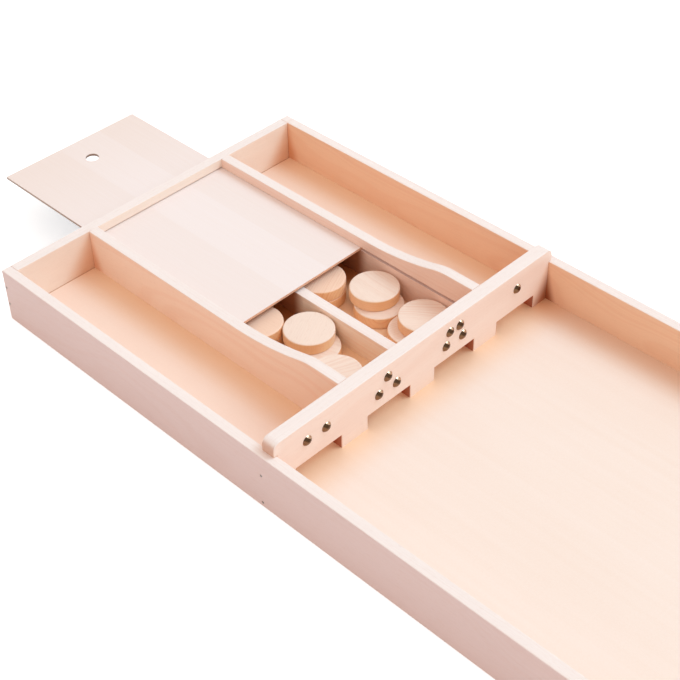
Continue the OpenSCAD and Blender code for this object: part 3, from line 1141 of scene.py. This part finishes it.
@dataclass
class GateBar:
    """Bar with four gates, two ears on the rails, and the brass nails that mark the scores."""

    wood: bpy.types.Material
    brass: bpy.types.Material
    timber: Timber
    edge_r: float = 0.0009
    gate_x: tuple[float, ...] = (-0.13875, -0.04625, 0.04625, 0.13875)
    gate_w: float = 0.058
    gate_top: float = 0.0315
    ear_r: float = 0.008
    ear_steps: int = 14
    nail_r: float = 0.0055
    nail_h: float = 0.003
    nail_lip: float = 0.0002
    nail_len: float = 0.010
    nail_tip: float = 0.001
    nail_steps: int = 40
    dome_steps: int = 12
    shank_r: float = 0.0008
    hole_steps: int = 16
    play: float = 0.00005

    def outline(self) -> list[Point]:
        """Draws the front of the bar.

        Returns:
            Corners in X and Z, from the left foot round by the gates and over the ears.
        """
        low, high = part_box("gate_bar")
        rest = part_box("right_rail")[1].z
        points = [(-INNER_X, low.z)]
        for x in self.gate_x:
            left, right = x - self.gate_w / 2, x + self.gate_w / 2
            points += [(left, low.z), (left, self.gate_top), (right, self.gate_top), (right, low.z)]
        points += [(INNER_X, low.z), (INNER_X, rest), (high.x, rest)]
        points += arc((high.x - self.ear_r, high.z - self.ear_r), self.ear_r, 0, 90, self.ear_steps)
        points += arc((low.x + self.ear_r, high.z - self.ear_r), self.ear_r, 90, 180, self.ear_steps)
        return points + [(low.x, rest), (-INNER_X, rest)]

    def cover(self, spot: Vector, normal: Vector) -> Triple:
        """Tells where a face of the bar lies.

        Args:
            spot: The face's middle.
            normal: Its normal.

        Returns:
            Its cover, with painted shade on the faces inside a gate.
        """
        inside = any(abs(spot.x - x) < self.gate_w / 2 + self.edge_r for x in self.gate_x)
        # Faces inside a gate get painted shade
        recess_shade = inside and spot.z < self.gate_top + self.edge_r / 2 and abs(normal.y) < FACING
        return 0.0, float(recess_shade), 0.0

    def spots(self, node: str) -> list[Vector]:
        """Where the nails of a group meet the front of the bar."""
        return [Vector((spot.x, BAR_Y[0], spot.z)) for spot in map(middle, solid_boxes(node))]

    def nails(self, node: str) -> None:
        """Builds one group of nails.

        Args:
            node: The node of the group.
        """
        dome_r = (self.nail_r ** 2 + self.nail_h ** 2) / (2 * self.nail_h)
        spread = math.degrees(math.asin(self.nail_r / dome_r))
        dome = arc((0, self.nail_h - dome_r), dome_r, 90 - spread, 90, self.dome_steps)
        profile = [(0, -self.nail_len), (self.shank_r, -self.nail_len + self.nail_tip), (self.shank_r, 0)]
        profile += [(self.nail_r - self.nail_lip, 0)] + dome[:-1] + [(0, self.nail_h)]
        axis = -Axis.ALONG.unit()
        solid = Solid().turned(profile, self.spots(node), axis, self.nail_steps)
        lie = Grain(axis, Axis.ACROSS.unit(), Axis.UP.unit(), Vector())
        settle(solid.piece(f"{node}_domed", lie), node, self.brass)

    def build(self) -> None:
        """Builds the bar and its groups of nails."""
        low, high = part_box("gate_bar")
        solid = Solid().prism(self.outline(), Axis.ALONG, low.y, high.y)
        solid.ease(self.edge_r, above=low.z + MERGE)
        thin = self.shank_r + self.play
        hole = [(0, -self.nail_len), (thin, -self.nail_len), (thin, OVERSHOOT), (0, OVERSHOOT)]
        for node in Slot.NAILS.nodes():
            solid.cut(Solid().turned(hole, self.spots(node), -Axis.ALONG.unit(), self.hole_steps))
        piece = solid.piece("gate_bar_eased", self.timber.board(Axis.ACROSS), self.cover)
        settle(piece, "gate_bar", self.wood)
        for node in Slot.NAILS.nodes():
            self.nails(node)


@dataclass
class Dividers:
    """Walls between the compartments behind the bar."""

    woods: Mapping[str, bpy.types.Material]
    timber: Timber
    trough: Trough
    edge_r: float = 0.0008
    rise_flat: float = 0.032
    crest_run: float = 0.020
    foot_run: float = 0.088
    crest_steps: int = 12
    foot_steps: int = 30
    groove: float = 0.006
    groove_shade_share: float = 0.2

    def rise(self, low: Vector, high: Vector, rest: float) -> list[Point]:
        """Draws the S-curve along the top of an outer divider: a hollow foot, then a round crest.

        Args:
            low: Lowest corner of the divider.
            high: Its highest corner.
            rest: Height of the rails.

        Returns:
            Points in Y and Z, from the foot at the rails' height up to the crest at the bar's height.
        """
        angle = 2 * math.atan((high.z - rest) / (self.crest_run + self.foot_run))
        crest_r, foot_r = self.crest_run / math.sin(angle), self.foot_run / math.sin(angle)
        crest_y = low.y + self.rise_flat
        foot_y = crest_y + self.crest_run + self.foot_run
        slope = math.degrees(angle)
        foot = arc((foot_y, rest + foot_r), foot_r, -90, -90 - slope, self.foot_steps)
        crest = arc((crest_y, high.z - crest_r), crest_r, 90 - slope, 90, self.crest_steps)
        return foot + crest[1:]

    def cover(self, spot: Vector, normal: Vector) -> Triple:
        """Tells where a face of a divider lies.

        Args:
            spot: The face's middle.
            normal: Its normal.

        Returns:
            Its cover, with a little painted shade in the lid's groove, and stored where it looks into the
            store.
        """
        away = abs(spot.x) - STORE_X
        lid_low, lid_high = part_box("storage_lid")
        play = self.trough.lid_play + MERGE
        # The lid's groove gets a little painted shade
        grooved = MERGE < away < self.groove and lid_low.z - play <= spot.z <= lid_high.z + play
        stored = abs(normal.x) > FACING and away < self.edge_r and spot.z < lid_low.z
        return 0.0, self.groove_shade_share * grooved, float(stored)

    def finish(self, solid: Solid, node: str) -> None:
        """Ends one divider, whose shape is done, in the place of its node."""
        piece = solid.piece(f"{node}_eased", self.timber.board(Axis.ALONG), self.cover)
        settle(piece, node, self.woods[node])

    def outer(self, side: Side) -> None:
        """Builds the left or right divider with its groove for the lid.

        Args:
            side: Where the divider stands.
        """
        node = f"{side.value}_divider"
        low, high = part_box(node)
        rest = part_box("end_wall")[1].z
        outline = [(low.y, low.z), (high.y, low.z), (high.y, rest)]
        outline += self.rise(low, high, rest) + [(low.y, high.z)]
        solid = Solid().prism(outline, Axis.ACROSS, low.x, high.x).ease(self.edge_r, above=low.z + MERGE)
        self.finish(solid.cut(self.trough.lid_way(self.trough.lid_play)), node)

    def build(self) -> None:
        """Builds all three dividers."""
        for side in Side:
            self.outer(side)
        low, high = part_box("middle_divider")
        self.finish(Solid().block(low, high).ease(self.edge_r, above=low.z + MERGE), "middle_divider")


@dataclass
class StorageLid:
    """Thin lid with a finger hole."""

    ply: bpy.types.Material
    edge_r: float = 0.0003
    edge_steps: int = 2
    hole_r: float = 0.0075
    hole_edge: float = 0.039
    hole_steps: int = 64
    veneer_at: Point = (3.0, 7.0)

    def build(self) -> None:
        """Builds the lid with eased rims."""
        low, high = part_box("storage_lid")
        spot = Vector(((low.x + high.x) / 2, high.y - self.hole_edge, low.z))
        top = high.z - low.z + OVERSHOOT
        profile = [(0, -OVERSHOOT), (self.hole_r, -OVERSHOOT), (self.hole_r, top), (0, top)]
        hole = Solid().turned(profile, [spot], Axis.UP.unit(), self.hole_steps)
        solid = Solid().block(low, high).cut(hole).ease(self.edge_r, self.edge_steps)
        start = Vector((*self.veneer_at, -low.z))
        lie = Grain(Axis.ALONG.unit(), Axis.ACROSS.unit(), Axis.UP.unit(), start)
        settle(solid.piece("storage_lid_sanded", lie), "storage_lid", self.ply)


@dataclass
class DiscSet:
    """The thirty turned discs: those in the rows partly under the lid get painted shade."""

    wood: bpy.types.Material
    lid_shaded: bpy.types.Material
    timber: Timber
    rim_r: float = 0.0015
    rim_steps: int = 6
    rings: tuple[float, ...] = (0.35, 0.7, 0.9)
    steps: int = 96

    def profile(self, radius: float, thick: float) -> list[Point]:
        """Draws half the section of a disc.

        Args:
            radius: Radius of the disc.
            thick: Its thickness.

        Returns:
            Radius and height, from the middle of its lower face to the middle of its upper face.
        """
        core = radius - self.rim_r
        flat = [share * core for share in self.rings]
        lower = arc((core, self.rim_r), self.rim_r, -90, 0, self.rim_steps)
        upper = arc((core, thick - self.rim_r), self.rim_r, 0, 90, self.rim_steps)
        below = [(0.0, 0.0)] + [(r, 0.0) for r in flat]
        above = [(r, thick) for r in reversed(flat)] + [(0.0, thick)]
        return below + lower + upper + above

    def build(self) -> None:
        """Builds every disc."""
        for node in Slot.DISCS.nodes():
            low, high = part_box(node)
            centre = middle((low, high))
            foot = Vector((centre.x, centre.y, low.z))
            profile = self.profile((high.x - low.x) / 2, high.z - low.z)
            solid = Solid().turned(profile, [foot], Axis.UP.unit(), self.steps)
            wood = self.lid_shaded if BODY_OF[node].endswith("_row") else self.wood
            settle(solid.piece(f"{node}_turned", self.timber.disc(centre), turning=True), node, wood)


@dataclass
class Studio:
    """Camera, light and the paper under the board."""

    paper: bpy.types.Material
    camera_at: Triple = (-0.76307, -0.04750, 0.94779)
    forward: Triple = (0.53342, 0.53599, -0.65435)
    right: Triple = (0.70003, -0.71398, -0.01418)
    sensor: float = 36.0
    lens: float = 75.72
    clip_end: float = 100.0
    broad_strength: float = 1.05
    broad_spread: float = 32.0
    broad_tint: Triple = (0.68, 1.05, 1.27)
    glint_from: Triple = (0.60, -0.36, 0.72)
    glint_strength: float = 1.2
    glint_spread: float = 30.0
    ambient: float = 0.78
    ambient_tint: Triple = (1.055, 0.932, 0.859)
    paper_half: float = 30.0
    paper_z: float = -0.0003

    def camera(self) -> None:
        """Adds the camera of the photograph."""
        data = bpy.data.cameras.new("camera")
        data.sensor_width = self.sensor
        data.lens = self.lens
        data.clip_end = self.clip_end
        view = bpy.data.objects.new("camera", data)
        back = -Vector(self.forward).normalized()
        side = Vector(self.right).normalized()
        up = back.cross(side)
        turn = Matrix((side, up, back)).transposed().to_4x4()
        view.matrix_world = Matrix.Translation(self.camera_at) @ turn
        bpy.context.scene.collection.objects.link(view)
        bpy.context.scene.camera = view

    def lamp(self, name: str, source: Vector, strength: float, spread: float) -> bpy.types.Object:
        """Adds a far lamp.

        Args:
            name: The lamp's name.
            source: Direction that it shines from.
            strength: Its strength.
            spread: Angle that it fills in the sky, in degrees.

        Returns:
            The lamp.
        """
        data = bpy.data.lights.new(name, "SUN")
        data.energy = strength
        data.angle = math.radians(spread)
        lamp = bpy.data.objects.new(name, data)
        lamp.rotation_euler = source.to_track_quat("Z", "Y").to_euler()
        bpy.context.scene.collection.objects.link(lamp)
        return lamp

    def light(self) -> None:
        """Adds a broad lamp, one for the glints and a surround that shows white but lights a little warm."""
        broad = self.lamp("broad", LIGHT_FROM, self.broad_strength, self.broad_spread)
        broad.data.color = self.broad_tint
        glint = self.lamp("glint", Vector(self.glint_from), self.glint_strength, self.glint_spread)
        glint.visible_diffuse = False
        g = Graph(bpy.data.worlds.new("surround"))
        glow = tuple(self.ambient * part for part in self.ambient_tint)
        surround = g.add("Background", {"Color": g.mix(g.seen(), (*glow, 1.0), (1.0, 1.0, 1.0, 1.0))})
        g.add("OutputWorld", {"Surface": surround.outputs[0]})
        bpy.context.scene.world = g.owner

    def build(self) -> None:
        """Sets the camera, the light and the paper up."""
        self.camera()
        self.light()
        bpy.context.scene.view_settings.view_transform = "Standard"
        half, z = self.paper_half, self.paper_z
        mesh = bpy.data.meshes.new("paper")
        corners = [(-half, -half, z), (half, -half, z), (half, half, z), (-half, half, z)]
        mesh.from_pydata(corners, [], [(0, 1, 2, 3)])
        mesh.materials.append(self.paper)
        paper = bpy.data.objects.new("paper", mesh)
        bpy.context.scene.collection.objects.link(paper)


def main() -> None:
    """Builds the finishes, every piece of the board and the studio."""
    logging.basicConfig(level=logging.INFO, format="%(message)s")
    # Painted light and shade for the boards: faces are paler toward the lamp and darker away from it,
    # outside, in recesses, in corners and under the lid's edge
    beech = WoodFinish(
        "beech boards", painted_shade="#F8CCAB", painted_half_light="#FFE8DB", painted_light_and_wear="#FCEFE9", outside="#E8CEC9",
        end="#DDB29C", stain_and_shade="#B57552", recess_shade="#A84612", corner="#F0D2BC", bar_corner_shade="#AE7656",
        ring="#E3A57C", fleck="#C98A62",
    )
    # Each of these pieces has its own painted light and shade
    own_finishes = {
        "right_rail": replace(beech, name="beech right rail", outside="#F8D8C2"),
        "end_wall": replace(beech, name="beech end wall", painted_half_light="#FFEEE0"),
        "left_divider": replace(beech, name="beech left_divider", painted_shade="#FFE1CC"),
        "middle_divider": replace(beech, name="beech middle_divider", painted_shade="#FFEAD6"),
        "right_divider": replace(beech, name="beech right_divider", painted_shade="#FBDAC8"),
    }
    # Painted light and shade on the discs: pale tops, darker orange sides
    turned = replace(
        beech, name="turned beech", painted_shade="#FBCEA4", painted_half_light="#FDD5A8", painted_light_and_wear="#FDE6D6", end="#F8C696",
        ring="#DFA06C", fleck="#C2814F", ring_gap=0.0009, ring_share=0.2, plain_ring_share=0.12, vivid=(0.4, 1.6),
    )
    # Painted shade on the discs in the rows partly under the lid
    lid_shaded = replace(turned, name="turned beech kept dark", painted_light_and_wear="#FFDAC1")
    wood = beech.make()
    own_woods = {node: finish.make() for node, finish in own_finishes.items()}
    timber = Timber(seed=7)
    fasteners = Fasteners(SteelFinish().make())
    trough = Trough(wood, own_woods, SheetFinish().make(), timber, fasteners)
    trough.build()
    fasteners.build()
    GateBar(wood, BrassFinish().make(), timber).build()
    Dividers(own_woods, timber, trough).build()
    StorageLid(PlyFinish().make()).build()
    DiscSet(turned.make(), lid_shaded.make(), timber).build()
    Studio(PaperFinish().make()).build()


if __name__ == "__main__":
    main()
